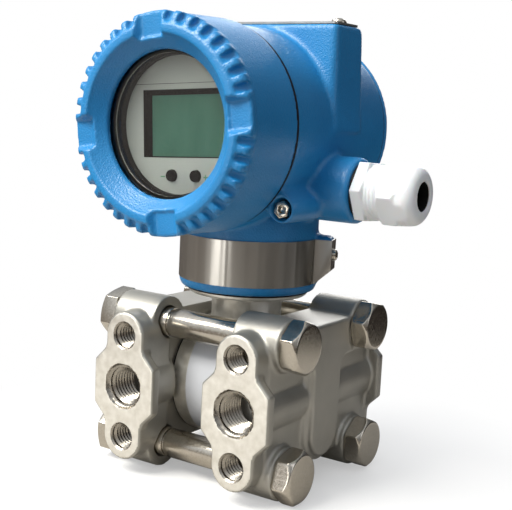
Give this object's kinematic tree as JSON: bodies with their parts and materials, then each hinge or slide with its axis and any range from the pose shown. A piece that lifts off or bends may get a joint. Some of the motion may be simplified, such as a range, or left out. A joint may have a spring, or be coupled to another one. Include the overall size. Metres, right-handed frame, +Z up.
{
  "type": "differential pressure transmitter",
  "caption": "Blue round-headed transmitter with a windowed display on clamped cast steel process flanges with threaded ports, and a white cable gland.",
  "frame": {"origin": "centre of the manifold bolt pattern, on the front face of the two process ports", "axes": "+Z up along the neck; -Y towards the display and the ports; +X towards the cable gland and the bolt heads"},
  "size_m": [0.131, 0.1138, 0.1842],
  "materials": {
    "housing_paint": "fine textured enamel",
    "cast_steel": "blasted investment casting",
    "machined_steel": "turned",
    "bolt_steel": "bright rolled",
    "strip_steel": "brushed strip",
    "small_screw_steel": "bright",
    "nylon_white": "moulded",
    "seal_rubber": "matt",
    "black_plastic": "moulded",
    "faceplate_grey": "printed foil",
    "lcd": "reflective display",
    "board": "circuit board",
    "potting": "potted can",
    "window_glass": "clear",
    "label_foil": "foil",
    "plate_metal": "bare plate"
  },
  "bodies": {
    "base": {"flange_high": "cast_steel", "flange_low": "cast_steel", "flange_bolts": "bolt_steel", "flange_nuts": "bolt_steel", "drain_plugs": "machined_steel", "sensor_body": "machined_steel", "sensor_label": "label_foil", "diaphragm_high": "machined_steel", "diaphragm_low": "machined_steel", "gasket_high": "seal_rubber", "gasket_low": "seal_rubber", "neck_oring": "seal_rubber"},
    "head": {"housing": "housing_paint", "tag_band": "strip_steel", "tag_band_screw": "small_screw_steel", "cover_lock_screw": "small_screw_steel", "nameplate_screws": "small_screw_steel", "gland_body": "nylon_white", "gland_washer": "seal_rubber", "conduit_plug": "machined_steel", "conduit_plug_washer": "seal_rubber", "display_faceplate": "faceplate_grey", "display_bezel": "black_plastic", "lcd_panel": "lcd", "display_board": "board", "electronics_module": "potting", "terminal_block": "black_plastic", "terminal_screws": "small_screw_steel", "inner_ground_screw": "small_screw_steel"},
    "front_ring": {"front_cover_oring": "seal_rubber"},
    "front_cover": {"front_cover": "housing_paint", "window_glass": "window_glass", "window_retaining_ring": "small_screw_steel"},
    "rear_ring": {"rear_cover_oring": "seal_rubber"},
    "rear_cover": {"rear_cover": "housing_paint"},
    "gland_seal": {"gland_seal": "seal_rubber"},
    "gland_nut": {"gland_nut": "nylon_white"},
    "nameplate": {"nameplate": "plate_metal"},
    "zero_adjuster": {"zero_adjuster": "small_screw_steel"},
    "span_adjuster": {"span_adjuster": "small_screw_steel"},
    "button_left": {"button_left": "black_plastic"},
    "button_right": {"button_right": "black_plastic"}
  },
  "joints": [
    {"name": "head_turn", "type": "hinge", "parent": "base", "child": "head", "pos_m": [0, 0.0455, 0.046], "axis": [0, 0, 1], "range_deg": [-180, 180]},
    {"name": "front_cover_travel", "type": "slide", "parent": "head", "child": "front_ring", "axis": [0, -1, 0], "range_m": [0, 0.01]},
    {"name": "front_cover_turn", "type": "hinge", "parent": "front_ring", "child": "front_cover", "pos_m": [0, 0.0005, 0.1048], "axis": [0, -1, 0], "range_deg": [0, 1800]},
    {"name": "rear_cover_travel", "type": "slide", "parent": "head", "child": "rear_ring", "axis": [0, 1, 0], "range_m": [0, 0.01]},
    {"name": "rear_cover_turn", "type": "hinge", "parent": "rear_ring", "child": "rear_cover", "pos_m": [0, 0.0875, 0.1048], "axis": [0, 1, 0], "range_deg": [0, 1800]},
    {"name": "gland_seal_travel", "type": "slide", "parent": "head", "child": "gland_seal", "axis": [1, 0, 0], "range_m": [0, 0.006]},
    {"name": "gland_nut_turn", "type": "hinge", "parent": "gland_seal", "child": "gland_nut", "pos_m": [0.065, 0.0455, 0.0829], "axis": [1, 0, 0], "range_deg": [0, 1440]},
    {"name": "nameplate_swing", "type": "hinge", "parent": "head", "child": "nameplate", "pos_m": [0.033, 0.0511, 0.146], "axis": [0, 0, 1], "range_deg": [0, 90]},
    {"name": "zero_press", "type": "slide", "parent": "head", "child": "zero_adjuster", "axis": [0, 0, -1], "range_m": [0, 0.0015], "stiffness_N_per_m": 300},
    {"name": "span_press", "type": "slide", "parent": "head", "child": "span_adjuster", "axis": [0, 0, -1], "range_m": [0, 0.0015], "stiffness_N_per_m": 300},
    {"name": "left_button_press", "type": "slide", "parent": "head", "child": "button_left", "axis": [0, 1, 0], "range_m": [0, 0.0008], "stiffness_N_per_m": 400},
    {"name": "right_button_press", "type": "slide", "parent": "head", "child": "button_right", "axis": [0, 1, 0], "range_m": [0, 0.0008], "stiffness_N_per_m": 400}
  ],
  "couplings": [
    {"joint": "front_cover_travel", "follows": "front_cover_turn", "m_per_rad": 0.00031831},
    {"joint": "rear_cover_travel", "follows": "rear_cover_turn", "m_per_rad": 0.00031831},
    {"joint": "gland_seal_travel", "follows": "gland_nut_turn", "m_per_rad": 0.00023873}
  ]
}
